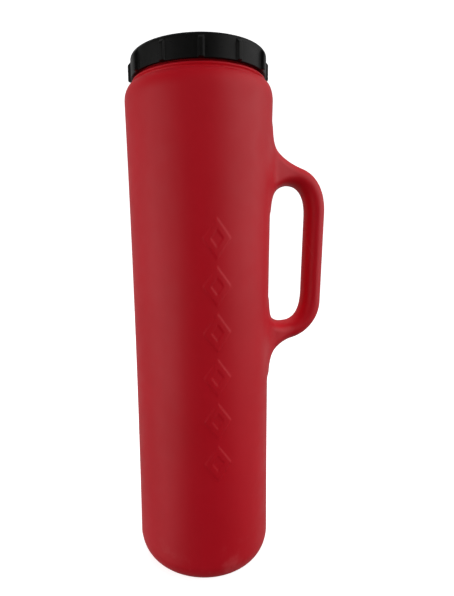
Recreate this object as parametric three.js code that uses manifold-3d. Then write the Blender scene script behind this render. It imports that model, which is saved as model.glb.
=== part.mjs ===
// Screw-cap storage tube: a blow-moulded polyethylene tube with a hollow side handle, closed by a
// wide ribbed screw cap that presses a flat sealing ring onto the mouth.
// Units are millimetres and +Z is up. The origin is the centre of the flat base, on the tube's axis.
// The handle stands out along +X, in the parting plane of the mould (XZ).
import * as THREE from "three";
import { mergeVertices } from "three/addons/utils/BufferGeometryUtils.js";
import Module from "manifold-3d";

const wasm = await Module();
wasm.setup();

// ---- Driving dimensions ----

const WALL = 2.5; // wall of the moulding
const SEGMENTS = 48; // facets round the axis
const TURN = 2 * Math.PI;
const MERGE_DISTANCE = 1e-4; // corners closer than this are one corner
const OVERCUT = 1; // a cutting solid reaches this far past the face it opens

// Tube: its radius is least at mid height and grows towards both ends.
const SHOULDER_Z = 421.6; // where the straight wall ends and the shoulder starts
const MID_RADIUS = 62.25;
const TAPER = 1.3; // how much wider the top is than the bottom
const WAIST = 5.8; // how strongly the radius grows away from mid height
const HEEL_WIDTH = 14; // rounding between base and wall: across, and up
const HEEL_HEIGHT = 20;
const WALL_STEPS = 5;
const ARC_STEPS = 5;

// Shoulder and neck
const SHOULDER_END_RADIUS = 58.4;
const SHOULDER_END_Z = 435.2;
const BEAD_RADIUS = 57;
const BEAD_START = 0.6; // the bead's foot is this far above the shoulder's end
const BEAD_Z = 438.6;
const BEAD_SLOPE = 1.6; // height over which the bead runs in to the neck
const NECK_RADIUS = 53.4;
const NECK_TOP_Z = 455.9;
const NECK_CHAMFER = 0.8; // on the outer edge of the mouth
const NECK_BORE_RADIUS = 50.6;
const NECK_BORE_START = 2; // the bore's straight part starts this far above the shoulder's end

// Thread, right-handed
const PITCH = 5.08;
const THREAD_TURNS = 1.25;
const THREAD_DEPTH = 1.3;
const THREAD_ROOT_WIDTH = 2.1;
const THREAD_CREST_WIDTH = 1.1;
const THREAD_SINK = 0.5; // how far a thread's root reaches into its wall
const THREAD_FADE = Math.PI / 9; // angle over which a thread runs out at each end
const THREAD_STEPS = 45;
const NECK_THREAD_Z = 446.6; // where the neck's thread starts
const CAP_THREAD_DROP = 2.54; // the cap's thread runs this far below the neck's

// Cap
const CAP_BOTTOM_Z = 441.4;
const CAP_TOP_Z = 460.2;
const CAP_RADIUS = 58.3;
const CAP_EDGE = 3.6; // rounding of the top edge
const CAP_EDGE_STEPS = 4;
const CAP_BORE_RADIUS = 55.5;
const CAP_ROOF_Z = 457.9; // underside of the cap's top
const CAP_PANEL_RADIUS = 46; // shallow round recess in the top
const CAP_PANEL_SLOPE = 1; // width of the recess's sloping side
const CAP_PANEL_DEPTH = 0.6;
const RIB_COUNT = 12;
const RIB_WIDTH = 5;
const RIB_HEIGHT = 2.6; // how far a rib stands out of the cap
const RIB_TOP_Z = 457;
const RIB_SINK = 1;
const RIB_PHASE = THREE.MathUtils.degToRad(20.2); // the first rib, from +X

// Sealing ring, held by the cap's thread against the cap's roof
const RING_OUTER_RADIUS = 54.6;
const RING_INNER_RADIUS = 50.6;
const RING_GAP = 0.3;

// Handle
const HANDLE_HALF_WIDTH = 12; // across the parting plane
const HANDLE_ROUND = 8.4; // rounding of the grip's edges, seen along its length
const HANDLE_ROOT_X = 25; // the handle's solid starts here, inside the tube
const HANDLE_TOP_Z = 404; // the upper foot leaves the tube here
const HANDLE_BOTTOM_Z = 175; // the lower foot leaves the tube here
const GRIP_OUTER_TOP = [120.8, 329]; // [x, z] ends of the grip's outer side
const GRIP_OUTER_BOTTOM = [118.8, 243];
const GRIP_INNER_TOP = [102.5, 325]; // [x, z] ends of the grip's inner side
const GRIP_INNER_BOTTOM = [100.9, 256];
const HOLE_TOP_Z = 352.8; // highest and lowest points of the finger hole
const HOLE_BOTTOM_Z = 224.4;
const HOLE_SINK_X = 56; // the hole's closing side lies here, inside the tube
const CURVE_STEPS = 7;
const ROUND_STEPS = 3; // facets across the rounding of the grip's edges

// Six raised lozenge frames, one above another, on the front (-Y) of the tube
const MARK_COUNT = 6;
const MARK_TOP_Z = 307.5; // centre of the highest frame
const MARK_SPACING = 38.2;
const MARK_HEIGHT = 32;
const MARK_WIDTH = 23;
const MARK_STROKE = 5.2;
const MARK_RELIEF = 0.6;
const MARK_STEPS = 3; // facets along one side of a frame

// ---- Solids ----

// The closed manifold solid of a geometry whose faces point outwards.
function solid(geometry) {
  const bare = new THREE.BufferGeometry();
  bare.setAttribute("position", geometry.getAttribute("position"));
  bare.setIndex(geometry.index);
  const merged = mergeVertices(bare, MERGE_DISTANCE);
  const corners = merged.index.array;
  const kept = [];
  for (let i = 0; i < corners.length; i += 3) {
    const [a, b, c] = corners.slice(i, i + 3);
    if (a !== b && b !== c && c !== a) kept.push(a, b, c);
  }
  const mesh = new wasm.Mesh({
    numProp: 3,
    vertProperties: new Float32Array(merged.attributes.position.array),
    triVerts: new Uint32Array(kept),
  });
  return new wasm.Manifold(mesh);
}

// A solid of revolution about Z from [radius, z] points that run from the axis, up the outside,
// and back to the axis or to the first point.
function revolved(profile, segments = SEGMENTS) {
  const points = profile.map(([radius, z]) => new THREE.Vector2(radius, z));
  return solid(new THREE.LatheGeometry(points, segments).rotateX(Math.PI / 2));
}

// Points of an ellipse's quarter, from the angle `from` to the angle `to`.
function ellipseArc(centreX, centreZ, radiusX, radiusZ, from, to, steps = ARC_STEPS) {
  const points = [];
  for (let i = 0; i <= steps; i += 1) {
    const angle = from + ((to - from) * i) / steps;
    points.push([centreX + radiusX * Math.cos(angle), centreZ + radiusZ * Math.sin(angle)]);
  }
  return points;
}

// A named mesh from a manifold solid.
function meshOf(name, made, material) {
  const { numProp, numVert, vertProperties, triVerts } = made.getMesh();
  const positions = new Float32Array(numVert * 3);
  for (let i = 0; i < numVert; i += 1) {
    positions.set(vertProperties.subarray(i * numProp, i * numProp + 3), i * 3);
  }
  const geometry = new THREE.BufferGeometry();
  geometry.setAttribute("position", new THREE.BufferAttribute(positions, 3));
  geometry.setIndex(new THREE.BufferAttribute(triVerts, 1));
  geometry.computeVertexNormals();
  const mesh = new THREE.Mesh(geometry, material);
  mesh.name = name;
  return mesh;
}

// A thread that winds up about Z: a trapezium whose root lies on `radius` and which stands
// outwards (side 1) or inwards (side -1).
function thread(radius, side, startZ) {
  const section = new THREE.Shape([
    new THREE.Vector2(-THREAD_SINK, -THREAD_ROOT_WIDTH / 2),
    new THREE.Vector2(THREAD_DEPTH, -THREAD_CREST_WIDTH / 2),
    new THREE.Vector2(THREAD_DEPTH, THREAD_CREST_WIDTH / 2),
    new THREE.Vector2(-THREAD_SINK, THREAD_ROOT_WIDTH / 2),
  ]);
  const length = THREAD_TURNS * TURN;
  const bar = new THREE.ExtrudeGeometry(section, {
    depth: length,
    steps: THREAD_STEPS,
    bevelEnabled: false,
  });
  const place = bar.getAttribute("position");
  for (let i = 0; i < place.count; i += 1) {
    const along = place.getZ(i);
    const angle = side > 0 ? length - along : along;
    const fade = Math.min(1, angle / THREAD_FADE, (length - angle) / THREAD_FADE);
    const height = place.getX(i) > 0 ? place.getX(i) * fade : place.getX(i);
    const reach = radius + side * height;
    const z = startZ + (PITCH * angle) / TURN + place.getY(i);
    place.setXYZ(i, reach * Math.cos(angle), reach * Math.sin(angle), z);
  }
  return solid(bar);
}

// ---- Tube body ----

// Outer radius of the wall at a height.
function wallRadius(z) {
  const t = z / SHOULDER_Z - 0.5;
  return MID_RADIUS + TAPER * t + WAIST * t * t;
}

// Profile of the tube up to the top of the shoulder, moved inwards by `inset`.
function tubeProfile(inset) {
  const profile = [[0, inset]];
  const heelRadius = wallRadius(HEEL_HEIGHT) - HEEL_WIDTH;
  const acrossHeel = HEEL_WIDTH - inset;
  const upHeel = HEEL_HEIGHT - inset;
  profile.push(...ellipseArc(heelRadius, HEEL_HEIGHT, acrossHeel, upHeel, -Math.PI / 2, 0));
  for (let i = 1; i <= WALL_STEPS; i += 1) {
    const z = HEEL_HEIGHT + ((SHOULDER_Z - HEEL_HEIGHT) * i) / WALL_STEPS;
    profile.push([wallRadius(z) - inset, z]);
  }
  const across = wallRadius(SHOULDER_Z) - SHOULDER_END_RADIUS;
  const up = SHOULDER_END_Z - SHOULDER_Z;
  profile.push(
    ...ellipseArc(SHOULDER_END_RADIUS - inset, SHOULDER_Z, across, up, 0, Math.PI / 2).slice(1),
  );
  return profile;
}

// Outline of the handle in the XZ plane, with a broad foot that sweeps out of the tube at each
// end, and the finger hole.
function handleOutline() {
  const outline = new THREE.Shape();
  outline.moveTo(HANDLE_ROOT_X, HANDLE_TOP_Z);
  outline.lineTo(62, HANDLE_TOP_Z);
  outline.bezierCurveTo(63, 390, 75, 377.3, 97.3, 368.9);
  outline.bezierCurveTo(110.6, 364.2, 120.7, 350.5, ...GRIP_OUTER_TOP);
  outline.lineTo(...GRIP_OUTER_BOTTOM);
  outline.bezierCurveTo(118.6, 224.5, 104.8, 210.8, 90.6, 207.3);
  outline.bezierCurveTo(76, 204, 63.5, 195, 61.5, HANDLE_BOTTOM_Z);
  outline.lineTo(HANDLE_ROOT_X, HANDLE_BOTTOM_Z);
  const hole = new THREE.Path();
  hole.moveTo(...GRIP_INNER_TOP);
  hole.bezierCurveTo(102.7, 343.8, 95.5, HOLE_TOP_Z, 83, HOLE_TOP_Z);
  hole.bezierCurveTo(73, HOLE_TOP_Z, 64, 343, 60, 328);
  hole.lineTo(HOLE_SINK_X, 318);
  hole.lineTo(HOLE_SINK_X, 258);
  hole.lineTo(60, 248);
  hole.bezierCurveTo(62, 234, 69, HOLE_BOTTOM_Z, 79.8, HOLE_BOTTOM_Z);
  hole.bezierCurveTo(94, HOLE_BOTTOM_Z, 100.9, 232, ...GRIP_INNER_BOTTOM);
  hole.closePath();
  outline.holes.push(hole);
  return outline;
}

// The handle's solid, moved inwards by `inset` on every side.
function handleSolid(inset) {
  const core = 2 * (HANDLE_HALF_WIDTH - HANDLE_ROUND);
  const slab = new THREE.ExtrudeGeometry(handleOutline(), {
    depth: core,
    curveSegments: CURVE_STEPS,
    bevelEnabled: true,
    bevelSegments: ROUND_STEPS,
    bevelThickness: HANDLE_ROUND - inset,
    bevelSize: HANDLE_ROUND - inset,
    bevelOffset: -HANDLE_ROUND,
  });
  slab.translate(0, 0, -core / 2);
  return solid(slab.rotateX(Math.PI / 2));
}

// A lozenge frame wrapped round the front of the tube, standing MARK_RELIEF proud of the wall.
function markFrame(centreZ) {
  const lozenge = (path, halfWidth, halfHeight) => {
    const corners = [
      [halfWidth, 0],
      [0, halfHeight],
      [-halfWidth, 0],
      [0, -halfHeight],
    ];
    corners.forEach(([x, z], side) => {
      const [nextX, nextZ] = corners[(side + 1) % corners.length];
      for (let i = 0; i < MARK_STEPS; i += 1) {
        const share = i / MARK_STEPS;
        const point = [x + (nextX - x) * share, z + (nextZ - z) * share];
        if (side === 0 && i === 0) path.moveTo(...point);
        else path.lineTo(...point);
      }
    });
    path.closePath();
    return path;
  };
  const frame = lozenge(new THREE.Shape(), MARK_WIDTH / 2, MARK_HEIGHT / 2);
  const slope = Math.hypot(MARK_WIDTH, MARK_HEIGHT);
  const innerHalfWidth = MARK_WIDTH / 2 - (MARK_STROKE * slope) / MARK_HEIGHT;
  const innerHalfHeight = (innerHalfWidth * MARK_HEIGHT) / MARK_WIDTH;
  frame.holes.push(lozenge(new THREE.Path(), innerHalfWidth, innerHalfHeight));
  const plate = new THREE.ExtrudeGeometry(frame, { depth: 1, bevelEnabled: false });
  const place = plate.getAttribute("position");
  for (let i = 0; i < place.count; i += 1) {
    const z = centreZ + place.getY(i);
    const proud = place.getZ(i) > 0 ? MARK_RELIEF : -WALL / 2;
    const radius = wallRadius(z) + proud;
    const angle = place.getX(i) / MID_RADIUS - Math.PI / 2;
    place.setXYZ(i, radius * Math.cos(angle), radius * Math.sin(angle), z);
  }
  return solid(plate);
}

function tubeBody() {
  const neckOutside = [
    [BEAD_RADIUS, SHOULDER_END_Z + BEAD_START],
    [BEAD_RADIUS, BEAD_Z],
    [NECK_RADIUS, BEAD_Z + BEAD_SLOPE],
    [NECK_RADIUS, NECK_TOP_Z - NECK_CHAMFER],
    [NECK_RADIUS - NECK_CHAMFER, NECK_TOP_Z],
    [0, NECK_TOP_Z],
  ];
  const boreInside = [
    [NECK_BORE_RADIUS, SHOULDER_END_Z + NECK_BORE_START],
    [NECK_BORE_RADIUS, NECK_TOP_Z + OVERCUT],
    [0, NECK_TOP_Z + OVERCUT],
  ];
  let outside = revolved([...tubeProfile(0), ...neckOutside]);
  outside = outside.add(handleSolid(0));
  outside = outside.add(thread(NECK_RADIUS, 1, NECK_THREAD_Z));
  for (let i = 0; i < MARK_COUNT; i += 1) {
    outside = outside.add(markFrame(MARK_TOP_Z - i * MARK_SPACING));
  }
  const inside = revolved([...tubeProfile(WALL), ...boreInside]).add(handleSolid(WALL));
  return outside.subtract(inside);
}

// ---- Cap ----

function capRib(angle) {
  const rib = new THREE.ExtrudeGeometry(
    new THREE.Shape([
      new THREE.Vector2(CAP_RADIUS - RIB_SINK, CAP_BOTTOM_Z),
      new THREE.Vector2(CAP_RADIUS + RIB_HEIGHT, CAP_BOTTOM_Z),
      new THREE.Vector2(CAP_RADIUS + RIB_HEIGHT, RIB_TOP_Z - RIB_HEIGHT),
      new THREE.Vector2(CAP_RADIUS, RIB_TOP_Z),
      new THREE.Vector2(CAP_RADIUS - RIB_SINK, RIB_TOP_Z),
    ]),
    { depth: RIB_WIDTH, bevelEnabled: false },
  );
  rib.translate(0, 0, -RIB_WIDTH / 2);
  rib.rotateX(Math.PI / 2);
  return solid(rib.rotateZ(angle));
}

function screwCap() {
  const shell = [
    [0, CAP_ROOF_Z],
    [CAP_BORE_RADIUS, CAP_ROOF_Z],
    [CAP_BORE_RADIUS, CAP_BOTTOM_Z],
    [CAP_RADIUS, CAP_BOTTOM_Z],
    ...ellipseArc(
      CAP_RADIUS - CAP_EDGE,
      CAP_TOP_Z - CAP_EDGE,
      CAP_EDGE,
      CAP_EDGE,
      0,
      Math.PI / 2,
      CAP_EDGE_STEPS,
    ),
    [CAP_PANEL_RADIUS, CAP_TOP_Z],
    [CAP_PANEL_RADIUS - CAP_PANEL_SLOPE, CAP_TOP_Z - CAP_PANEL_DEPTH],
    [0, CAP_TOP_Z - CAP_PANEL_DEPTH],
  ];
  let made = revolved(shell);
  for (let i = 0; i < RIB_COUNT; i += 1) {
    made = made.add(capRib(RIB_PHASE + (i * TURN) / RIB_COUNT));
  }
  return made.add(thread(CAP_BORE_RADIUS, -1, NECK_THREAD_Z - CAP_THREAD_DROP));
}

// ---- Sealing ring ----

function capGasket() {
  const bottom = NECK_TOP_Z + RING_GAP;
  const top = CAP_ROOF_Z - RING_GAP;
  return revolved([
    [RING_INNER_RADIUS, bottom],
    [RING_OUTER_RADIUS, bottom],
    [RING_OUTER_RADIUS, top],
    [RING_INNER_RADIUS, top],
    [RING_INNER_RADIUS, bottom],
  ]);
}

// ---- Materials and assembly ----

const redPolyethylene = new THREE.MeshStandardMaterial({
  color: 0xa8242e,
  roughness: 0.5,
  metalness: 0,
});
const blackPlastic = new THREE.MeshStandardMaterial({
  color: 0x161615,
  roughness: 0.35,
  metalness: 0,
});
const whiteFoam = new THREE.MeshStandardMaterial({
  color: 0xdcd9d0,
  roughness: 0.85,
  metalness: 0,
});

const tube = new THREE.Group();
tube.name = "screw_cap_storage_tube";
tube.add(meshOf("tube_body", tubeBody(), redPolyethylene));
tube.add(meshOf("screw_cap", screwCap(), blackPlastic));
tube.add(meshOf("cap_gasket", capGasket(), whiteFoam));

export default tube;
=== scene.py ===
# Screw-cap storage tube: the looks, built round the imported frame. Lengths are in metres.
import bpy
import math
import numpy as np
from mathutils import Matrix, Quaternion, Vector


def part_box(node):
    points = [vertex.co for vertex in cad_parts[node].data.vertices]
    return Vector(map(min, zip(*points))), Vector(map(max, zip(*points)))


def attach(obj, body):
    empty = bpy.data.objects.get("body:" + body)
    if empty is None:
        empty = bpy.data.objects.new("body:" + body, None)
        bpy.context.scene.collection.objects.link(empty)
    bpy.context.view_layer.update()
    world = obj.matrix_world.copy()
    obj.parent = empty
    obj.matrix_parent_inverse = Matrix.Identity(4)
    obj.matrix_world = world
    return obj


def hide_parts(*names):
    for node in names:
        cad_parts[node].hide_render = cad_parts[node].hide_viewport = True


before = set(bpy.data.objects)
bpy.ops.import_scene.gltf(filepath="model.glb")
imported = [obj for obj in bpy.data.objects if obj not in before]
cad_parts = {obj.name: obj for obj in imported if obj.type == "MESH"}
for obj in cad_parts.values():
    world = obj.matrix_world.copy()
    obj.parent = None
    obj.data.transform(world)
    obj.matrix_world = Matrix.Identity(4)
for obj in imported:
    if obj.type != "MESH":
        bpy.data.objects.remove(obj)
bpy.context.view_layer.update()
MM = 0.001
TURN = 2 * math.pi

# ---- What the frame gives ----

CAP_LOW, CAP_HIGH = (np.array(v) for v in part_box("screw_cap"))
RING_LOW, RING_HIGH = (np.array(v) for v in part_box("cap_gasket"))

# ---- Driving dimensions of the tube ----

WALL = 2.5 * MM
SHOULDER_Z = 421.6 * MM
MID_RADIUS = 62.25 * MM
TAPER = 1.3 * MM
WAIST = 5.8 * MM
HEEL_WIDTH = 14 * MM
HEEL_HEIGHT = 20 * MM
EDGE_RADIUS = 58.4 * MM  # where the shoulder meets the neck's foot
EDGE_Z = 435.2 * MM
BEAD_RADIUS = 57.5 * MM
NECK_RADIUS = 53.4 * MM
BORE_RADIUS = 50.6 * MM

PITCH = 5.08 * MM
THREAD_TURNS = 1.25
THREAD_DEPTH = 1.3 * MM
THREAD_FADE = math.radians(20)  # angle over which a thread runs out at each end
THREAD_ROOT = 2.1 * MM  # width of a thread at its root, and at its crest
THREAD_CREST = 1.0 * MM
NECK_THREAD_Z = 446.6 * MM
CAP_THREAD_Z = NECK_THREAD_Z - 2.54 * MM

SEAM_HEIGHT = 0.16 * MM  # ridge left by the mould's parting line
SEAM_WIDTH = 0.45 * MM

MARK_COUNT = 6
MARK_TOP_Z = 307.5 * MM
MARK_SPACING = 38.2 * MM
MARK_HEIGHT = 32 * MM
MARK_WIDTH = 23 * MM
MARK_STROKE = 5.2 * MM
MARK_RELIEF = 0.5 * MM
MARK_SOFT = 0.85 * MM  # width of a mark's sloping edge

HANDLE_HALF = 12 * MM  # half thickness across the parting plane
GRIP_ROUND = 9.4 * MM  # rounding of the handle's edges, in the parting plane
FOOT_FLARE = 7 * MM  # extra half thickness of the handle's feet where they meet the wall
FLARE_START = 58 * MM  # [x] between these the extra thickness runs out
FLARE_END = 90 * MM
BLEND = 9 * MM  # how softly the handle's feet run into the wall


# ---- Outlines and fields ----


def smooth_step(x):
    x = np.clip(x, 0, 1)
    return x * x * (3 - 2 * x)


def wall_radius(z):
    t = z / SHOULDER_Z - 0.5
    return MID_RADIUS + TAPER * t + WAIST * t * t


def bezier(p0, p1, p2, p3, count):
    """Points of a cubic curve, without its last one, in metres from millimetres."""
    t = np.linspace(0, 1, count, endpoint=False)[:, None]
    p0, p1, p2, p3 = (np.array(p, float) * MM for p in (p0, p1, p2, p3))
    return (1 - t) ** 3 * p0 + 3 * t * (1 - t) ** 2 * p1 + 3 * t * t * (1 - t) * p2 + t**3 * p3


def line(p0, p1, count):
    t = np.linspace(0, 1, count, endpoint=False)[:, None]
    return (1 - t) * np.array(p0, float) * MM + t * np.array(p1, float) * MM


# The handle lies in the XZ plane. Each side runs from the upper foot to the lower foot, and the
# two sides have the same number of points, so that point i of one faces point i of the other.
FOOT_STEPS = 26
BEND_STEPS = 26
GRIP_STEPS = 22
OUTER_SIDE = np.vstack([
    bezier((62, 401), (63.5, 390), (75, 377.3), (97.3, 368.9), FOOT_STEPS),
    bezier((97.3, 368.9), (110.6, 364.2), (120.7, 350.5), (120.8, 329), BEND_STEPS),
    line((120.8, 329), (118.8, 243), GRIP_STEPS),
    bezier((118.8, 243), (118.6, 224.5), (104.8, 210.8), (90.6, 207.3), BEND_STEPS),
    bezier((90.6, 207.3), (76, 204), (64, 195), (61.5, 178), FOOT_STEPS),
    np.array([(61.5, 178)]) * MM,
])
INNER_SIDE = np.vstack([
    bezier((60.5, 330), (64, 342), (73, 352.8), (83, 352.8), FOOT_STEPS),
    bezier((83, 352.8), (95.5, 352.8), (102.7, 343.8), (102.5, 325), BEND_STEPS),
    line((102.5, 325), (100.9, 256), GRIP_STEPS),
    bezier((100.9, 256), (100.9, 232), (94, 224.4), (79.8, 224.4), BEND_STEPS),
    bezier((79.8, 224.4), (69, 224.4), (62, 234), (60, 248), FOOT_STEPS),
    np.array([(60, 248)]) * MM,
])
ROOT_X = 20 * MM  # the handle's field goes on inside the tube down to here
HANDLE_OUTLINE = np.vstack([
    [(ROOT_X, OUTER_SIDE[0, 1])],
    OUTER_SIDE,
    [(ROOT_X, OUTER_SIDE[-1, 1])],
    [(ROOT_X, INNER_SIDE[-1, 1])],
    INNER_SIDE[::-1],
    [(ROOT_X, INNER_SIDE[0, 1])],
])


def outline_distance(points):
    """Signed distance of [x, z] points to the handle's outline, negative inside, and its slope."""
    starts = HANDLE_OUTLINE
    ends = np.roll(HANDLE_OUTLINE, -1, axis=0)
    nearest = np.full(len(points), 1.0)
    gaps = np.zeros_like(points)
    inside = np.zeros(len(points), bool)
    for a, b in zip(starts, ends):
        along = b - a
        from_a = points - a
        t = np.clip(from_a @ along / max(along @ along, 1e-12), 0, 1)
        gap = from_a - t[:, None] * along
        squared = gap[:, 0] ** 2 + gap[:, 1] ** 2
        closer = squared < nearest
        nearest[closer] = squared[closer]
        gaps[closer] = gap[closer]
        crosses = (a[1] > points[:, 1]) != (b[1] > points[:, 1])
        reach = a[0] + (points[:, 1] - a[1]) / (b[1] - a[1] + 1e-15) * along[0]
        inside ^= crosses & (points[:, 0] < reach)
    distance = np.sqrt(nearest)
    side = np.where(inside, -1, 1)
    return side * distance, gaps * (side / np.maximum(distance, 1e-9))[:, None]


def handle_half(x):
    """The handle's half thickness at a distance from the tube's axis, and its slope."""
    share = np.clip((FLARE_END - x) / (FLARE_END - FLARE_START), 0, 1)
    half = HANDLE_HALF + FOOT_FLARE * smooth_step(share)
    return half, -FOOT_FLARE * 6 * share * (1 - share) / (FLARE_END - FLARE_START)


def body_field(p):
    """Near the handle, a value below 0 inside the outer skin, and its slope.
    The wall and the handle are joined by a soft fillet."""
    x, y, z = p.T
    across = np.hypot(x, y)
    wall = across - wall_radius(z)
    wall_slope = np.stack([x / across, y / across, 0 * z], -1)
    outline, outline_slope = outline_distance(p[:, [0, 2]])
    depth = np.maximum(outline + GRIP_ROUND, 0)
    half, half_slope = handle_half(x)
    size = np.maximum(np.hypot(depth / GRIP_ROUND, y / half), 1e-6)
    handle = (size - 1) * GRIP_ROUND
    share = depth / (GRIP_ROUND * size)
    handle_slope = np.stack([
        share * outline_slope[:, 0] - GRIP_ROUND * y * y * half_slope / (half**3 * size),
        GRIP_ROUND * y / (half**2 * size),
        share * outline_slope[:, 1],
    ], -1)
    near = np.maximum(BLEND - np.abs(wall - handle), 0) / BLEND
    value = np.minimum(wall, handle) - near * near * BLEND / 4
    weight = np.where(wall < handle, 1 - near / 2, near / 2)[:, None]
    return value, weight * wall_slope + (1 - weight) * handle_slope


def settle(points, level, rounds=5):
    """Moves points along the field's slope onto its surface at that level."""
    p = points.copy()
    for _ in range(rounds):
        value, slope = body_field(p)
        steep = np.maximum((slope**2).sum(-1), 0.05)
        move = -((value - level) / steep)[:, None] * slope
        size = np.linalg.norm(move, axis=1, keepdims=True)
        p += move * np.minimum(1, 4 * MM / np.maximum(size, 1e-9))
    return p


def outward(points):
    """Unit slope of the field."""
    slope = body_field(points)[1]
    return slope / np.maximum(np.linalg.norm(slope, axis=1, keepdims=True), 1e-12)


def mark_relief(angle, z):
    """Height of the raised lozenge frames on the -Y side."""
    across = np.abs((angle + math.pi / 2) * MID_RADIUS)
    height = np.zeros(np.broadcast(angle, z).shape)
    slope = math.hypot(MARK_WIDTH, MARK_HEIGHT)
    for i in range(MARK_COUNT):
        up = np.abs(z - (MARK_TOP_Z - i * MARK_SPACING))
        # distance outwards from the lozenge's outer edge
        edge = (across * MARK_HEIGHT + up * MARK_WIDTH - MARK_WIDTH * MARK_HEIGHT / 2) / slope
        middle = np.abs(edge + MARK_STROKE / 2) - MARK_STROKE / 2
        height = np.maximum(height, smooth_step(0.5 - middle / MARK_SOFT))
    return height * MARK_RELIEF


def seam_relief(distance):
    return SEAM_HEIGHT * np.exp(-((distance / SEAM_WIDTH) ** 2) * 2)


def thread_relief(angle, z, start_z):
    """Height of a right-handed thread of THREAD_TURNS that starts at angle 0 and start_z."""
    height = np.zeros(np.broadcast(angle, z).shape)
    length = THREAD_TURNS * TURN
    for turn in range(int(THREAD_TURNS) + 2):
        run = np.mod(angle, TURN) + turn * TURN
        off = np.abs(z - (start_z + PITCH * run / TURN))
        fade = np.clip(np.minimum(run, length - run) / THREAD_FADE, 0, 1)
        flank = (THREAD_ROOT / 2 - off) / ((THREAD_ROOT - THREAD_CREST) / 2)
        height = np.maximum(height, smooth_step(flank) * fade)
    return height * THREAD_DEPTH


# ---- Mesh building ----


class Mesher:
    """Collects grids of points and the faces between them into one mesh."""

    def __init__(self):
        self.points = []
        self.count = 0
        self.faces = []

    def add(self, points):
        points = np.asarray(points, float)
        index = np.arange(self.count, self.count + points[..., 0].size)
        self.points.append(points.reshape(-1, 3))
        self.count += index.size
        return index.reshape(points.shape[:-1])

    def quads(self, grid, skip=None, flip=False):
        """Faces between neighbouring rows of a grid of indices. Each row is a closed ring."""
        grid = np.concatenate([grid, grid[:, :1]], axis=1)
        a, b = grid[:-1, :-1], grid[:-1, 1:]
        c, d = grid[1:, 1:], grid[1:, :-1]
        cells = np.stack([d, c, b, a] if flip else [a, b, c, d], -1)
        if skip is not None:
            cells = cells[~skip]
        self.faces.extend(cells.reshape(-1, 4).tolist())

    def fan(self, ring, centre, flip=False):
        tip = int(self.add([[centre]])[0, 0])
        ring = list(ring) + [ring[0]]
        for a, b in zip(ring[:-1], ring[1:]):
            self.faces.append([int(b), int(a), tip] if flip else [int(a), int(b), tip])

    def build(self, name, material):
        mesh = bpy.data.meshes.new(name)
        mesh.from_pydata(np.concatenate(self.points).tolist(), [], self.faces)
        mesh.validate()
        mesh.update()
        mesh.polygons.foreach_set("use_smooth", np.ones(len(mesh.polygons), bool))
        piece = bpy.data.objects.new(name, mesh)
        bpy.context.scene.collection.objects.link(piece)
        mesh.materials.append(material)
        return piece


def revolve_points(radius, angle, z):
    """Points at (rows, columns) radii and heights."""
    radius, angle, z = np.broadcast_arrays(radius, angle, z)
    return np.stack([radius * np.cos(angle), radius * np.sin(angle), z], -1)


def spread(start, end, step):
    """Evenly spaced values from start up to, but not with, end."""
    count = max(1, round(abs(end - start) / step))
    return np.linspace(start, end, count, endpoint=False)


def arc(centre_r, centre_z, radius_r, radius_z, start, end, count):
    """Profile points of an ellipse from one angle to another, in degrees, without the last."""
    a = np.radians(np.linspace(start, end, count, endpoint=False))
    return np.stack([centre_r + radius_r * np.cos(a), centre_z + radius_z * np.sin(a)], -1)


# ---- Tube body ----

OPEN_ANGLE = 19.0  # degrees each side of +X where the handle's feet leave the wall
UPPER_FOOT = (331 * MM, 407 * MM)
LOWER_FOOT = (171 * MM, 247 * MM)
ROOT_RUNG = 9  # the first pair of outline points that carries a full ring
FILLET_RINGS = 6  # rings between the wall and that pair


def seam_columns(centre):
    """Angles, in degrees, close together about a parting line."""
    return [centre + d for d in (-1.5, -0.7, -0.35, 0, 0.35, 0.7, 1.5)]


def outer_columns():
    half_open = [3.2, 5.6, 8.2, 10.9, 13.6, 16.3]
    return np.radians(np.concatenate([
        [-180, -179.65, -179.3, -178.5],
        spread(-177, -103.5, 2.9),
        spread(-103.5, -76.5, 0.6),
        spread(-76.5, -25, 2.9),
        spread(-25, -OPEN_ANGLE, 1.4),
        [-OPEN_ANGLE],
        [-a for a in half_open[::-1]],
        seam_columns(0),
        half_open,
        spread(OPEN_ANGLE, 25, 1.4),
        spread(25, 177, 2.9),
        [177, 178.5, 179.3, 179.65],
    ]))


def thinned(columns, step):
    """Indices of columns at least step apart, with those that bound the handle's opening."""
    kept = []
    bounds = np.radians([-OPEN_ANGLE, OPEN_ANGLE])
    for i, angle in enumerate(columns):
        wanted = np.abs(bounds - angle).min() < 1e-6
        far = not kept or angle - columns[kept[-1]] >= step
        if wanted and kept and not far and len(kept) > 1:
            kept.pop()
        if wanted or far:
            kept.append(i)
    return np.array(kept)


def wall_rows(z):
    return np.stack([wall_radius(z), z], -1)


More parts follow.
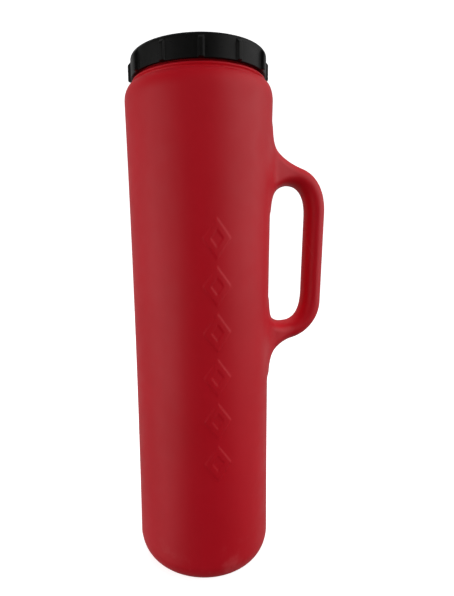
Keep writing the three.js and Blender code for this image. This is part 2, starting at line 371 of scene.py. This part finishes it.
def outer_profile():
    """Rows of [radius, z] from the base's middle up to the lip."""
    heel_r = wall_radius(HEEL_HEIGHT) - HEEL_WIDTH
    shoulder_r = wall_radius(SHOULDER_Z) - EDGE_RADIUS
    flat = spread(4 * MM, heel_r, 5 * MM)
    wall_z = np.concatenate([
        spread(HEEL_HEIGHT, 96 * MM, 4.5 * MM),
        spread(96 * MM, 410 * MM, 1 * MM),
        spread(410 * MM, SHOULDER_Z, 2.4 * MM),
    ])
    neck_z = np.arange(441.4, 455.2, 0.34) * MM
    groove = np.array([
        (57.5, 435.3),
        (56.7, 435.6),
        (56.2, 436.1),
        (56.1, 436.7),
        (56.3, 437.3),
    ]) * MM
    neck_foot = np.array([(56.0, 440.05), (55.0, 440.2), (54.2, 440.45), (53.65, 440.85)]) * MM
    lip = np.array([(53.3, 455.35), (53.05, 455.65), (52.6, 455.85), (51.9, 455.9)]) * MM
    lip_inside = np.array([(51.3, 455.85), (50.85, 455.6)]) * MM
    return np.concatenate([
        np.stack([flat, 0 * flat], -1),
        arc(heel_r, HEEL_HEIGHT, HEEL_WIDTH, HEEL_HEIGHT, -90, 0, 18),
        wall_rows(wall_z),
        arc(EDGE_RADIUS, SHOULDER_Z, shoulder_r, EDGE_Z - SHOULDER_Z, 0, 90, 14),
        [(EDGE_RADIUS, EDGE_Z)],
        groove,
        arc(BEAD_RADIUS - 0.8 * MM, 438.5 * MM, 0.8 * MM, 0.8 * MM, -50, 90, 7),
        neck_foot,
        np.stack([0 * neck_z + NECK_RADIUS, neck_z], -1),
        lip,
        lip_inside,
    ])


def inner_profile():
    """Rows of [radius, z] of the hollow, from the base's middle up to the bore's top."""
    heel_r = wall_radius(HEEL_HEIGHT) - HEEL_WIDTH
    shoulder_r = wall_radius(SHOULDER_Z) - EDGE_RADIUS
    flat = spread(8 * MM, heel_r, 9 * MM)
    wall_z = np.concatenate([
        spread(HEEL_HEIGHT, LOWER_FOOT[0], 12 * MM),
        spread(*LOWER_FOOT, 4 * MM),
        spread(LOWER_FOOT[1], UPPER_FOOT[0], 7 * MM),
        spread(*UPPER_FOOT, 4 * MM),
        spread(UPPER_FOOT[1], SHOULDER_Z, 5 * MM),
    ])
    wall = wall_rows(wall_z) - (WALL, 0)
    bore = np.array([(52.2, 438.6), (51, 439.5), (BORE_RADIUS / MM, 441), (50.6, 448), (50.6, 455)])
    return np.concatenate([
        np.stack([flat, 0 * flat + WALL], -1),
        arc(heel_r, HEEL_HEIGHT, HEEL_WIDTH - WALL, HEEL_HEIGHT - WALL, -90, 0, 8),
        wall,
        arc(EDGE_RADIUS - WALL, SHOULDER_Z, shoulder_r, EDGE_Z - SHOULDER_Z, 0, 90, 6),
        bore * MM,
    ])


def nearest_row(profile, z):
    """The wall row at a height."""
    on_wall = profile[:, 0] > 0.9 * MID_RADIUS
    return int(np.argmin(np.where(on_wall, np.abs(profile[:, 1] - z), 1.0)))


def outer_relief(radius, angle, z):
    """The tube's radius with its raised frames, thread and parting line."""
    on_wall = (z > HEEL_HEIGHT) & (z < SHOULDER_Z)
    marks = np.where(on_wall, mark_relief(angle, z), 0)
    on_neck = z > 441 * MM
    crest = thread_relief(angle, z, NECK_THREAD_Z)
    seam = np.where(z > 3 * MM, seam_relief(radius * np.sin(angle)), 0)
    return radius + marks + np.where(on_neck & (z < 455.2 * MM), crest, 0) + seam


def opening_loops(grid, columns, rows_up, rows_down):
    """The two closed loops of indices where the handle's feet leave the wall, in step."""
    c0 = int(np.argmin(np.abs(columns + math.radians(OPEN_ANGLE))))
    c1 = int(np.argmin(np.abs(columns - math.radians(OPEN_ANGLE))))

    def loop(row_in, row_out):
        side = 1 if row_out > row_in else -1
        down = grid[row_in:row_out:side, c1]
        back = grid[row_out:row_in:-side, c0]
        return np.concatenate([grid[row_in, c0:c1], down, grid[row_out, c1:c0:-1], back])

    upper = loop(rows_up[0], rows_up[1])
    lower = loop(rows_down[1], rows_down[0])
    skip = np.zeros((grid.shape[0] - 1, grid.shape[1]), bool)
    skip[rows_up[0]:rows_up[1], c0:c1] = True
    skip[rows_down[0]:rows_down[1], c0:c1] = True
    return upper, lower, skip


def ring_shape(columns_open, side_count):
    """(u, v) of each vertex of a ring: u runs from the handle's inner to its outer side."""
    q = columns_open / np.abs(columns_open).max() * math.pi / 4
    w = np.linspace(-1, 1, side_count, endpoint=False) * math.pi / 4
    inner = np.stack([-np.cos(q[:-1]), np.sin(q[:-1])], -1)
    right = np.stack([np.sin(w), np.cos(w)], -1)
    outer = np.stack([np.cos(q[:0:-1]), np.sin(q[:0:-1])], -1)
    left = np.stack([-np.sin(w), -np.cos(w)], -1)
    return np.concatenate([inner, right, outer, left])


def handle_sleeve(upper, lower, shape, rungs, level):
    """Rings of points from the upper foot's loop to the lower one's, on the handle's surface."""
    rings = []
    for i in rungs:
        middle = (OUTER_SIDE[i] + INNER_SIDE[i]) / 2
        half = (OUTER_SIDE[i] - INNER_SIDE[i]) / 2
        xz = middle + shape[:, :1] * half
        across = shape[:, 1] * handle_half(xz[:, 0])[0]
        rings.append(np.stack([xz[:, 0], across, xz[:, 1]], -1))
    rings = np.array(rings)
    share = (np.arange(1, FILLET_RINGS + 1) / (FILLET_RINGS + 1))[:, None, None]
    first = upper + (rings[0] - upper) * share
    last = rings[-1] + (lower - rings[-1]) * share
    sleeve = np.concatenate([[upper], first, rings, last, [lower]])
    fixed = sleeve[1:-1]
    fixed[:] = settle(fixed.reshape(-1, 3), level).reshape(fixed.shape)
    ends = FILLET_RINGS + 8
    for _ in range(12):
        around = (np.roll(sleeve, 1, axis=1) + np.roll(sleeve, -1, axis=1)) / 4
        mixed = (sleeve[:-2] + sleeve[2:]) / 4 + around[1:-1]
        inside = np.zeros(len(mixed), bool)
        inside[:ends] = True
        inside[-ends:] = True
        moved = mixed[inside]
        moved = settle(moved.reshape(-1, 3), level, 2).reshape(moved.shape)
        sleeve[1:-1][inside] = moved
    return sleeve


def add_skin(mesher, columns, profile, rungs, level, relief=None):
    """One closed skin of the tube with its handle, open at the top. Returns its last ring."""
    radius, z = profile[:, :1], profile[:, 1:]
    angle = columns[None, :]
    bare = revolve_points(radius, angle, z)
    points = revolve_points(relief(radius, angle, z), angle, z) if relief else bare.copy()
    near_z = (z > 155 * MM) & (z < 422 * MM)
    near = near_z & (np.abs(angle) < math.radians(32))
    settled = settle(bare[near], level)
    if relief:
        lift = seam_relief(settled[:, 1])[:, None]
        settled = settled + lift * outward(settled)
    points[near] = settled
    grid = mesher.add(points)
    rows_up = [nearest_row(profile, h) for h in UPPER_FOOT]
    rows_down = [nearest_row(profile, h) for h in LOWER_FOOT]
    upper, lower, skip = opening_loops(grid, columns, rows_up, rows_down)
    flip = level < 0
    mesher.quads(grid, skip, flip)
    open_columns = columns[np.abs(columns) <= math.radians(OPEN_ANGLE) + 1e-6]
    shape = ring_shape(open_columns, rows_up[1] - rows_up[0])
    flat = points.reshape(-1, 3)
    first = int(grid[0, 0])
    sleeve = handle_sleeve(flat[upper - first], flat[lower - first], shape, rungs, level)
    body = sleeve[1:-1]
    if relief:
        lift = seam_relief(body[..., 1])[..., None]
        body = body + lift * outward(body.reshape(-1, 3)).reshape(body.shape)
    rings = mesher.add(body)
    mesher.quads(np.vstack([upper[None], rings, lower[None]]), flip=flip)
    mesher.fan(grid[0], (0, 0, z[0, 0]), flip=not flip)
    return grid[-1]


def make_tube(material):
    mesher = Mesher()
    columns = outer_columns()
    rungs = range(ROOT_RUNG, len(OUTER_SIDE) - ROOT_RUNG)
    outer_ring = add_skin(mesher, columns, outer_profile(), rungs, 0, outer_relief)
    kept = thinned(columns, math.radians(5))
    few_rungs = range(ROOT_RUNG, len(OUTER_SIDE) - ROOT_RUNG, 3)
    inner_ring = add_skin(mesher, columns[kept], inner_profile(), few_rungs, -WALL)
    # The two skins meet at the lip: each inner edge faces the outer edges between its columns.
    ends = np.append(kept[1:], kept[0] + len(columns))
    for i, (start, end) in enumerate(zip(kept, ends)):
        top = [int(outer_ring[k % len(columns)]) for k in range(start, end + 1)]
        after = int(inner_ring[(i + 1) % len(kept)])
        mesher.faces.append([*top, after, int(inner_ring[i])])
    return mesher.build("tube_shell", material)


# ---- Cap ----

RIB_COUNT = 12
RIB_PHASE = math.radians(20.2)
RIB_HEIGHT = 2.5 * MM
RIB_BASE = 5.4 * MM  # rib width at the cap's wall
RIB_CREST = 2.9 * MM
RIB_TOP_Z = 457.6 * MM
CAP_BOTTOM = CAP_LOW[2]
CAP_TOP = CAP_HIGH[2]
CAP_RADIUS = 58.3 * MM
CAP_EDGE = 3.6 * MM
CAP_BORE = 55.5 * MM
CAP_SEGMENTS = 9  # plain columns between two ribs
RIB_TAPER = 3.8 * MM  # height over which a rib fades out below its top
RIB_FOOT = 0.82  # share of a rib's height at the cap's lower edge
RIB_FOOT_RISE = 0.5 * MM  # it grows to its full height over this much


def cap_columns():
    """Angles of the cap's columns: close together on the ribs' flanks, even between them."""
    half = [0.0, 0.9, 1.45, 1.8, 2.1, 2.45, 2.75, 3.0, 3.5]
    near = np.array([-d for d in half[:0:-1]] + half) * MM / CAP_RADIUS
    sector = TURN / RIB_COUNT
    plain = np.linspace(near[-1], sector + near[0], CAP_SEGMENTS + 2)[1:-1]
    one = np.concatenate([near, plain])
    return np.concatenate([one + RIB_PHASE + i * sector for i in range(RIB_COUNT)])


def rib_relief(angle, z):
    """Height of the upright ribs on the cap's wall."""
    sector = TURN / RIB_COUNT
    off = np.mod(angle - RIB_PHASE + sector / 2, sector) - sector / 2
    flank = (RIB_BASE / 2 - np.abs(off) * CAP_RADIUS) / ((RIB_BASE - RIB_CREST) / 2)
    top = smooth_step((RIB_TOP_Z - z) / RIB_TAPER)
    foot = np.clip((z - CAP_BOTTOM) / RIB_FOOT_RISE, 0, 1) * (1 - RIB_FOOT) + RIB_FOOT
    return RIB_HEIGHT * smooth_step(flank) * top * foot


def cap_profile():
    """Rows of [radius, z] over the outside, from the top's middle down to the inside's middle."""
    top = np.array([
        (6, 459.6),
        (14, 459.6),
        (22, 459.6),
        (30, 459.6),
        (38, 459.6),
        (43.5, 459.6),
        (44.6, 459.62),
        (45.2, 459.75),
        (45.7, 460.0),
        (46.2, 460.15),
        (47, 460.2),
        (50.5, 460.2),
    ]) * MM
    edge = arc(CAP_RADIUS - CAP_EDGE, CAP_TOP - CAP_EDGE, CAP_EDGE, CAP_EDGE, 90, 0, 9)
    wall_z = np.concatenate([
        spread(CAP_TOP - CAP_EDGE, 455.2 * MM, 0.35 * MM),
        spread(455.2 * MM, 442.4 * MM, 1.2 * MM),
        np.array([442.4, 442.1]) * MM,
    ])
    rim = arc(CAP_RADIUS - 0.5 * MM, CAP_BOTTOM + 0.5 * MM, 0.5 * MM, 0.5 * MM, 0, -90, 5)
    rim_inside = np.array([(57, 441.4), (56, 441.4), (55.6, 441.65)]) * MM
    bore_z = np.arange(442.1, 456.6, 0.4) * MM
    roof = np.array([(55.5, 457.3), (55.2, 457.8), (54.6, 457.9), (40, 457.9), (25, 457.9)])
    return np.concatenate([
        top,
        edge,
        np.stack([0 * wall_z + CAP_RADIUS, wall_z], -1),
        rim,
        rim_inside,
        np.stack([0 * bore_z + CAP_BORE, bore_z], -1),
        roof * MM,
        np.array([(10, 457.9)]) * MM,
    ])


def make_cap(material):
    mesher = Mesher()
    columns = cap_columns()
    profile = cap_profile()
    radius, z = profile[:, :1], profile[:, 1:]
    angle = columns[None, :]
    outside = radius > CAP_RADIUS - 0.52 * MM
    ribs = np.where(outside & (z < RIB_TOP_Z), rib_relief(angle, z), 0)
    in_bore = (np.abs(radius - CAP_BORE) < 1e-6) & (z < 457 * MM)
    thread = thread_relief(angle, z, CAP_THREAD_Z)
    grid = mesher.add(revolve_points(radius + ribs - np.where(in_bore, thread, 0), angle, z))
    mesher.quads(grid, flip=True)
    mesher.fan(grid[0], (0, 0, z[0, 0]))
    mesher.fan(grid[-1], (0, 0, z[-1, 0]), flip=True)
    return mesher.build("cap_shell", material)


# ---- Sealing ring ----


def make_ring(material):
    """A flat foam ring with soft edges and the shallow groove that the tube's lip presses in it."""
    inner, outer = 50.6 * MM, RING_HIGH[0]
    low, high = RING_LOW[2], RING_HIGH[2]
    soft = 0.3 * MM
    press = 0.12 * MM
    under = np.array([(52.9, 0), (52.7, 1), (52.2, 1), (51.7, 1), (51.5, 0)])
    under = np.stack([under[:, 0] * MM, low + press * under[:, 1]], -1)
    profile = np.concatenate([
        arc(outer - soft, low + soft, soft, soft, 0, -90, 4),
        [(outer - soft, low)],
        under,
        arc(inner + soft, low + soft, soft, soft, -90, -180, 4),
        arc(inner + soft, high - soft, soft, soft, 180, 90, 4),
        [(inner + soft, high), (52.6 * MM, high)],
        arc(outer - soft, high - soft, soft, soft, 90, 0, 4),
    ])
    mesher = Mesher()
    columns = np.linspace(0, TURN, 144, endpoint=False)[None, :]
    grid = mesher.add(revolve_points(profile[:, :1], columns, profile[:, 1:]))
    mesher.quads(np.vstack([grid, grid[:1]]), flip=True)
    return mesher.build("foam_ring", material)


# ---- Materials ----


class Nodes:
    """A material's node tree, with short calls to add and join nodes."""

    def __init__(self, name):
        self.material = bpy.data.materials.new(name)
        self.material.use_nodes = True
        self.tree = self.material.node_tree
        self.shader = self.tree.nodes["Principled BSDF"]
        self.place = self.add("ShaderNodeTexCoord").outputs["Object"]

    def add(self, kind, **values):
        node = self.tree.nodes.new(kind)
        for key, value in values.items():
            setattr(node, key, value)
        return node

    def join(self, source, target):
        self.tree.links.new(source, target)

    def feed(self, socket, value):
        if isinstance(value, bpy.types.NodeSocket):
            self.join(value, socket)
        else:
            socket.default_value = value

    def noise(self, scale, detail=4.0, rough=0.5, stretch=(1, 1, 1)):
        mapping = self.add("ShaderNodeMapping")
        mapping.inputs["Scale"].default_value = stretch
        self.join(self.place, mapping.inputs["Vector"])
        node = self.add("ShaderNodeTexNoise")
        self.join(mapping.outputs["Vector"], node.inputs["Vector"])
        node.inputs["Scale"].default_value = scale
        node.inputs["Detail"].default_value = detail
        node.inputs["Roughness"].default_value = rough
        return node.outputs["Fac"]

    def voronoi(self, scale, feature="F1", stretch=(1, 1, 1)):
        mapping = self.add("ShaderNodeMapping")
        mapping.inputs["Scale"].default_value = stretch
        self.join(self.place, mapping.inputs["Vector"])
        node = self.add("ShaderNodeTexVoronoi", feature=feature)
        self.join(mapping.outputs["Vector"], node.inputs["Vector"])
        node.inputs["Scale"].default_value = scale
        return node.outputs["Distance"]

    def math(self, operation, a, b=0.0):
        node = self.add("ShaderNodeMath", operation=operation)
        self.feed(node.inputs[0], a)
        self.feed(node.inputs[1], b)
        return node.outputs[0]

    def ramp(self, value, low, high, out_low=0.0, out_high=1.0):
        node = self.add("ShaderNodeMapRange", interpolation_type="SMOOTHSTEP")
        self.join(value, node.inputs["Value"])
        for name, number in zip(("From Min", "From Max", "To Min", "To Max"),
                                (low, high, out_low, out_high)):
            node.inputs[name].default_value = number
        return node.outputs["Result"]

    def mix(self, factor, a, b):
        node = self.add("ShaderNodeMix", data_type="RGBA")
        self.feed(node.inputs["Factor"], factor)
        self.feed(node.inputs["A"], a)
        self.feed(node.inputs["B"], b)
        return node.outputs["Result"]

    def height(self):
        split = self.add("ShaderNodeSeparateXYZ")
        self.join(self.place, split.inputs[0])
        return split.outputs["Z"]

    def bump(self, height, distance, strength=1.0, before=None):
        node = self.add("ShaderNodeBump")
        node.inputs["Strength"].default_value = strength
        node.inputs["Distance"].default_value = distance
        self.join(height, node.inputs["Height"])
        if before:
            self.join(before, node.inputs["Normal"])
        return node.outputs["Normal"]


def set_shader(nodes, **values):
    names = {
        "color": "Base Color",
        "rough": "Roughness",
        "normal": "Normal",
        "ior": "IOR",
        "specular": "Specular IOR Level",
        "subsurface": "Subsurface Weight",
        "subsurface_scale": "Subsurface Scale",
    }
    for key, value in values.items():
        nodes.feed(nodes.shader.inputs[names[key]], value)


def red_polyethylene():
    n = Nodes("red_polyethylene")
    base = (0.72, 0.0085, 0.022, 1)
    deep = (0.66, 0.007, 0.0175, 1)
    worn = (0.80, 0.10, 0.11, 1)
    cloud = n.ramp(n.noise(14, 3), 0.35, 0.65)
    # the parison's faint upright flow lines
    streak = n.ramp(n.noise(1, 5, 0.6, (160, 160, 5)), 0.35, 0.7)
    colour = n.mix(n.math("MULTIPLY", cloud, 0.6), base, deep)
    colour = n.mix(n.math("MULTIPLY", streak, 0.22), colour, deep)
    # rubbed patches near the heel, and a few short scratches all over
    low = n.ramp(n.height(), 0.05, 0.004)
    patch = n.ramp(n.noise(45, 6, 0.65), 0.5, 0.72)
    heel_wear = n.math("MULTIPLY", n.math("MULTIPLY", low, patch), 0.5)
    hair = n.ramp(n.voronoi(26, "DISTANCE_TO_EDGE", (1, 1, 0.55)), 0.012, 0.004)
    where = n.ramp(n.noise(9, 2), 0.6, 0.7)
    scratch = n.math("MULTIPLY", n.math("MULTIPLY", hair, where), 0.35)
    wear = n.math("ADD", heel_wear, scratch)
    colour = n.mix(wear, colour, worn)
    sheen = n.ramp(n.noise(70, 4), 0.3, 0.7, 0.4, 0.48)
    rough = n.math("ADD", sheen, n.math("MULTIPLY", wear, 0.2))
    skin = n.bump(n.noise(1500, 3, 0.6), 0.00003, 0.5)
    peel = n.bump(n.noise(130, 3), 0.00012, 0.35, skin)
    set_shader(n, color=colour, rough=rough, normal=peel, ior=1.5, specular=0.33,
               subsurface=0.06, subsurface_scale=0.002)
    n.shader.inputs["Subsurface Radius"].default_value = (1.0, 0.25, 0.15)
    return n.material


def black_cap_plastic():
    n = Nodes("black_cap_plastic")
    cloud = n.ramp(n.noise(30, 4), 0.35, 0.65)
    colour = n.mix(cloud, (0.0076, 0.0076, 0.0073, 1), (0.0104, 0.0104, 0.0099, 1))
    dust = n.math("MULTIPLY", n.ramp(n.noise(900, 4, 0.7), 0.62, 0.75), 0.12)
    colour = n.mix(dust, colour, (0.09, 0.09, 0.085, 1))
    rough = n.ramp(n.noise(120, 5, 0.6), 0.3, 0.7, 0.26, 0.38)
    grain = n.bump(n.noise(2200, 2), 0.00002, 0.4)
    swirl = n.bump(n.noise(90, 3), 0.0001, 0.25, grain)
    set_shader(n, color=colour, rough=rough, normal=swirl, ior=1.49, specular=0.14)
    return n.material


def foam_liner():
    n = Nodes("foam_liner")
    cells = n.voronoi(1600)
    colour = n.mix(n.ramp(cells, 0.1, 0.6), (0.70, 0.68, 0.62, 1), (0.80, 0.78, 0.73, 1))
    rough = n.ramp(n.noise(300, 3), 0.3, 0.7, 0.8, 0.95)
    set_shader(n, color=colour, rough=rough, normal=n.bump(cells, 0.0001, 0.6), specular=0.3)
    return n.material


def pale_studio():
    """White paper, softly lit from behind."""
    n = Nodes("pale_studio")
    mottle = n.ramp(n.noise(6, 3), 0.3, 0.7)
    colour = n.mix(mottle, (0.90, 0.90, 0.90, 1), (0.93, 0.93, 0.93, 1))
    set_shader(n, color=colour, rough=0.9, specular=0.2)
    n.shader.inputs["Emission Color"].default_value = (1, 1, 1, 1)
    n.shader.inputs["Emission Strength"].default_value = PAPER_GLOW
    return n.material


# ---- Assembly ----

tube_shell = make_tube(red_polyethylene())
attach(tube_shell, "tube")
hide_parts("tube_body")

cap_shell = make_cap(black_cap_plastic())
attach(cap_shell, "cap")
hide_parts("screw_cap")

foam_ring = make_ring(foam_liner())
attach(foam_ring, "seal")
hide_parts("cap_gasket")


# ---- Studio ----

FRONT = -102  # direction of the camera from the object, in degrees from +X
AIM = (0, 0, 0.23)  # the middle of the tube, which every lamp faces

# The paper sweep: where its floor starts, where its wall stands, and how tall and wide it is.
PAPER_GLOW = 0.8
SWEEP_FRONT = -3.0
SWEEP_BACK = 2.6
SWEEP_BEND = 0.9  # radius of the bend between floor and wall
SWEEP_TOP = 3.2
SWEEP_HALF_WIDTH = 4.5
SWEEP_STEPS = 16
SWEEP_COLUMNS = 19
SWEEP_TURN = -12  # degrees about Z, so that the wall faces the camera

ROOM_DIM = 0.03
TOP_PANEL = (180, 68, 1.5, (1.4, 1.0), 10)  # azimuth, elevation, distance, size, power
FILL_DISTANCE = 4.0
FILL_SIZE = (2.6, 2.6)
# name, azimuth, elevation and power
SOFT_FILLS = (
    ("front_fill", 0, 28, 26),
    ("left_fill", -100, 3, 47),
    ("right_fill", 100, 3, 18),
)
# azimuth, elevation, angle from it to the outer edge and to the full glow, and strength
ROOM_WINDOWS = (
    (-63, -8, 41, 8, 1.25),
    (73, 18, 49, 12, 1.35),
    (180, 0, 110, 40, 0.3),
)


def make_sweep():
    """A pale floor that turns up into a backdrop far behind the object."""
    start = SWEEP_BACK - SWEEP_BEND
    outline = [(SWEEP_FRONT, 0.0), (start, 0.0)]
    for i in range(1, SWEEP_STEPS + 1):
        a = i / SWEEP_STEPS * math.pi / 2
        along = start + SWEEP_BEND * math.sin(a)
        outline.append((along, SWEEP_BEND - SWEEP_BEND * math.cos(a)))
    outline.append((SWEEP_BACK, SWEEP_TOP))
    xs = np.linspace(-SWEEP_HALF_WIDTH, SWEEP_HALF_WIDTH, SWEEP_COLUMNS)
    points = [(x, y, z) for y, z in outline for x in xs]
    n = len(xs)
    faces = [
        (r * n + c, r * n + c + 1, (r + 1) * n + c + 1, (r + 1) * n + c)
        for r in range(len(outline) - 1) for c in range(n - 1)
    ]
    mesh = bpy.data.meshes.new("studio_sweep")
    mesh.from_pydata(points, [], faces)
    mesh.polygons.foreach_set("use_smooth", np.ones(len(mesh.polygons), bool))
    mesh.materials.append(pale_studio())
    sweep = bpy.data.objects.new("studio_sweep", mesh)
    sweep.rotation_euler = (0, 0, math.radians(SWEEP_TURN))
    bpy.context.scene.collection.objects.link(sweep)
    # the paper is there for the camera alone: the object is lit by the room and the lamps
    sweep.visible_glossy = False
    sweep.visible_diffuse = False


def add_panel(name, azimuth, elevation, distance, size, power):
    """An area light, unseen in reflections, that faces the middle of the tube."""
    light = bpy.data.lights.new(name, "AREA")
    light.shape = "RECTANGLE"
    light.size, light.size_y = size
    light.energy = power
    panel = bpy.data.objects.new(name, light)
    away = studio_direction(azimuth, elevation)
    panel.location = Vector(AIM) + away * distance
    panel.rotation_mode = "QUATERNION"
    panel.rotation_quaternion = away.to_track_quat("Z", "Y")
    panel.visible_glossy = False
    bpy.context.scene.collection.objects.link(panel)


def studio_direction(azimuth, elevation):
    """Unit vector at an azimuth from the camera's side of the object (0) towards its right."""
    a = math.radians(azimuth + FRONT)
    e = math.radians(elevation)
    return Vector((math.cos(a) * math.cos(e), math.sin(a) * math.cos(e), math.sin(e)))


def make_room():
    """A dim room with one broad soft window on each side and a darker wall in front."""
    world = bpy.data.worlds.new("studio_world")
    world.use_nodes = True
    tree = world.node_tree
    direction = tree.nodes.new("ShaderNodeTexCoord").outputs["Generated"]
    total = None
    for azimuth, elevation, edge, full, strength in ROOM_WINDOWS:
        facing = tree.nodes.new("ShaderNodeVectorMath")
        facing.operation = "DOT_PRODUCT"
        facing.inputs[1].default_value = studio_direction(azimuth, elevation)
        tree.links.new(direction, facing.inputs[0])
        window = tree.nodes.new("ShaderNodeMapRange")
        window.interpolation_type = "SMOOTHSTEP"
        tree.links.new(facing.outputs["Value"], window.inputs["Value"])
        window.inputs["From Min"].default_value = math.cos(math.radians(edge))
        window.inputs["From Max"].default_value = math.cos(math.radians(full))
        window.inputs["To Max"].default_value = strength
        add = tree.nodes.new("ShaderNodeMath")
        add.operation = "ADD"
        add.inputs[0].default_value = ROOM_DIM
        if total:
            tree.links.new(total, add.inputs[0])
        tree.links.new(window.outputs["Result"], add.inputs[1])
        total = add.outputs[0]
    background = tree.nodes["Background"]
    background.inputs["Color"].default_value = (1, 1, 1, 1)
    tree.links.new(total, background.inputs["Strength"])
    bpy.context.scene.world = world


def make_studio():
    make_sweep()
    make_room()
    add_panel("top_panel", *TOP_PANEL)
    for name, azimuth, elevation, power in SOFT_FILLS:
        add_panel(name, azimuth, elevation, FILL_DISTANCE, FILL_SIZE, power)
    bpy.context.scene.view_settings.view_transform = "Standard"


LENS = 27.22
SENSOR = 36
LENS_SHIFT = 0.0502
CAMERA_DISTANCE = 0.4181  # from the tube's axis
CAMERA_HEIGHT = 0.3184
LOOK_AZIMUTH = 180.52
LOOK_ELEVATION = -9.246
CAMERA_ROLL = -0.814


def make_camera():
    """A camera two thirds of the way up the tube that looks slightly down."""
    data = bpy.data.cameras.new("camera")
    data.sensor_fit = "AUTO"
    data.sensor_width = SENSOR
    data.lens = LENS
    data.shift_x = LENS_SHIFT
    data.clip_start = 0.02
    camera = bpy.data.objects.new("camera", data)
    height = Vector((0, 0, CAMERA_HEIGHT))
    camera.location = studio_direction(0, 0) * CAMERA_DISTANCE + height
    look = studio_direction(LOOK_AZIMUTH, LOOK_ELEVATION)
    roll = Quaternion((0, 0, 1), math.radians(CAMERA_ROLL))
    camera.rotation_mode = "QUATERNION"
    camera.rotation_quaternion = look.to_track_quat("-Z", "Y") @ roll
    bpy.context.scene.collection.objects.link(camera)
    bpy.context.scene.camera = camera


make_studio()
make_camera()
